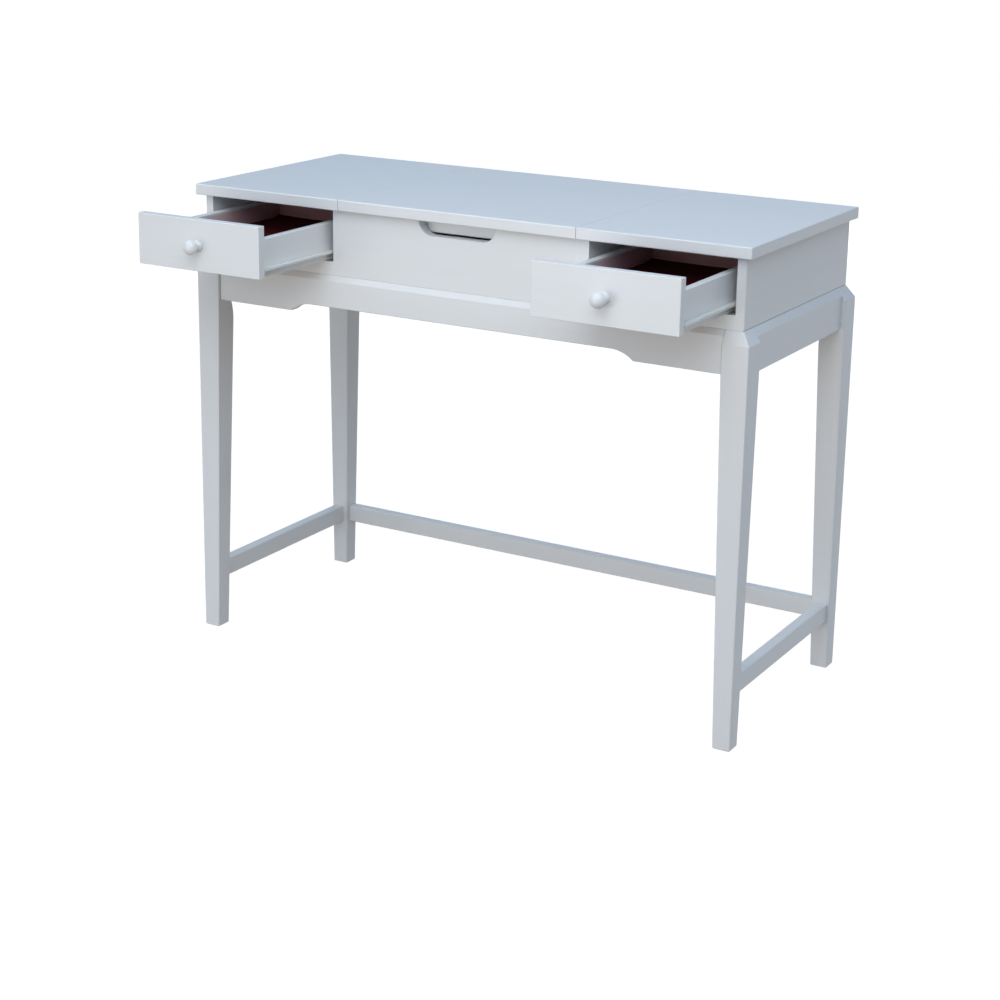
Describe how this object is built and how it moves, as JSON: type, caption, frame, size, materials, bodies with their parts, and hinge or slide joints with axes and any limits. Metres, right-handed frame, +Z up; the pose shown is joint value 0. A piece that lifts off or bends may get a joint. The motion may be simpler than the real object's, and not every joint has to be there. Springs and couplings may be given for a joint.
{
  "type": "vanity table with mirror",
  "caption": "White vanity table on tapered legs with stretchers, shallow drawers on roller slides either side, and a lift-up middle lid with a framed mirror under it.",
  "frame": {"origin": "on the floor, under the middle of the bounding box at rest, drawers part open", "axes": "+X along the table's length, to the right of someone sitting at it; +Y from the sitter towards the back; +Z up"},
  "size_m": [0.98, 0.625, 0.762],
  "materials": {
    "apron_back": "white painted",
    "apron_front": "white painted",
    "apron_left": "white painted",
    "apron_right": "white painted",
    "case_back": "white painted",
    "case_bottom": "bare, sanded",
    "case_side_left": "white painted",
    "case_side_right": "white painted",
    "corner_block_back_left": "bare, sawn",
    "corner_block_back_right": "bare, sawn",
    "corner_block_front_left": "bare, sawn",
    "corner_block_front_right": "bare, sawn",
    "drawer_left_back": "white painted",
    "drawer_left_bottom": "bare, sanded",
    "drawer_left_front": "white painted",
    "drawer_left_knob": "white painted",
    "drawer_left_liner": "felt",
    "drawer_left_runner_left": "epoxy coated",
    "drawer_left_runner_right": "epoxy coated",
    "drawer_left_side_left": "white painted",
    "drawer_left_side_right": "white painted",
    "drawer_left_track_left": "epoxy coated",
    "drawer_left_track_right": "epoxy coated",
    "drawer_right_back": "white painted",
    "drawer_right_bottom": "bare, sanded",
    "drawer_right_front": "white painted",
    "drawer_right_knob": "white painted",
    "drawer_right_liner": "felt",
    "drawer_right_runner_left": "epoxy coated",
    "drawer_right_runner_right": "epoxy coated",
    "drawer_right_side_left": "white painted",
    "drawer_right_side_right": "white painted",
    "drawer_right_track_left": "epoxy coated",
    "drawer_right_track_right": "epoxy coated",
    "front_rail": "white painted",
    "hanger_bolt_back_left": "zinc plated",
    "hanger_bolt_back_right": "zinc plated",
    "hanger_bolt_front_left": "zinc plated",
    "hanger_bolt_front_right": "zinc plated",
    "hinge_case_leaf_left": "satin",
    "hinge_case_leaf_right": "satin",
    "hinge_lid_leaf_left": "satin",
    "hinge_lid_leaf_right": "satin",
    "leg_back_left": "white painted",
    "leg_back_right": "white painted",
    "leg_front_left": "white painted",
    "leg_front_right": "white painted",
    "lid": "white painted",
    "middle_front": "white painted",
    "mirror_backing": "hardboard",
    "mirror_frame": "white painted",
    "mirror_glass": "polished",
    "partition_left": "white painted",
    "partition_right": "white painted",
    "stretcher_back": "white painted",
    "stretcher_left": "white painted",
    "stretcher_right": "white painted",
    "top_left": "white painted",
    "top_right": "white painted"
  },
  "bodies": {
    "table_base": {"apron_back": "apron_back", "apron_front": "apron_front", "apron_left": "apron_left", "apron_right": "apron_right", "case_back": "case_back", "case_bottom": "case_bottom", "case_side_left": "case_side_left", "case_side_right": "case_side_right", "corner_block_back_left": "corner_block_back_left", "corner_block_back_right": "corner_block_back_right", "corner_block_front_left": "corner_block_front_left", "corner_block_front_right": "corner_block_front_right", "drawer_left_track_left": "drawer_left_track_left", "drawer_left_track_right": "drawer_left_track_right", "drawer_right_track_left": "drawer_right_track_left", "drawer_right_track_right": "drawer_right_track_right", "front_rail": "front_rail", "hanger_bolt_back_left": "hanger_bolt_back_left", "hanger_bolt_back_right": "hanger_bolt_back_right", "hanger_bolt_front_left": "hanger_bolt_front_left", "hanger_bolt_front_right": "hanger_bolt_front_right", "hinge_case_leaf_left": "hinge_case_leaf_left", "hinge_case_leaf_right": "hinge_case_leaf_right", "leg_back_left": "leg_back_left", "leg_back_right": "leg_back_right", "leg_front_left": "leg_front_left", "leg_front_right": "leg_front_right", "middle_front": "middle_front", "partition_left": "partition_left", "partition_right": "partition_right", "stretcher_back": "stretcher_back", "stretcher_left": "stretcher_left", "stretcher_right": "stretcher_right", "top_left": "top_left", "top_right": "top_right"},
    "drawer_left": {"drawer_left_back": "drawer_left_back", "drawer_left_bottom": "drawer_left_bottom", "drawer_left_front": "drawer_left_front", "drawer_left_knob": "drawer_left_knob", "drawer_left_liner": "drawer_left_liner", "drawer_left_runner_left": "drawer_left_runner_left", "drawer_left_runner_right": "drawer_left_runner_right", "drawer_left_side_left": "drawer_left_side_left", "drawer_left_side_right": "drawer_left_side_right"},
    "drawer_right": {"drawer_right_back": "drawer_right_back", "drawer_right_bottom": "drawer_right_bottom", "drawer_right_front": "drawer_right_front", "drawer_right_knob": "drawer_right_knob", "drawer_right_liner": "drawer_right_liner", "drawer_right_runner_left": "drawer_right_runner_left", "drawer_right_runner_right": "drawer_right_runner_right", "drawer_right_side_left": "drawer_right_side_left", "drawer_right_side_right": "drawer_right_side_right"},
    "lift_lid": {"hinge_lid_leaf_left": "hinge_lid_leaf_left", "hinge_lid_leaf_right": "hinge_lid_leaf_right", "lid": "lid", "mirror_backing": "mirror_backing", "mirror_frame": "mirror_frame", "mirror_glass": "mirror_glass"}
  },
  "joints": [
    {"name": "drawer_left_slide", "type": "slide", "parent": "table_base", "child": "drawer_left", "axis": [0, -1, 0], "range_m": [-0.191, 0.069]},
    {"name": "drawer_right_slide", "type": "slide", "parent": "table_base", "child": "drawer_right", "axis": [0, -1, 0], "range_m": [-0.178, 0.082]},
    {"name": "lid_hinge", "type": "hinge", "parent": "table_base", "child": "lift_lid", "pos_m": [0, 0.3068, 0.7405], "axis": [-1, 0, 0], "range_deg": [0, 100]}
  ]
}
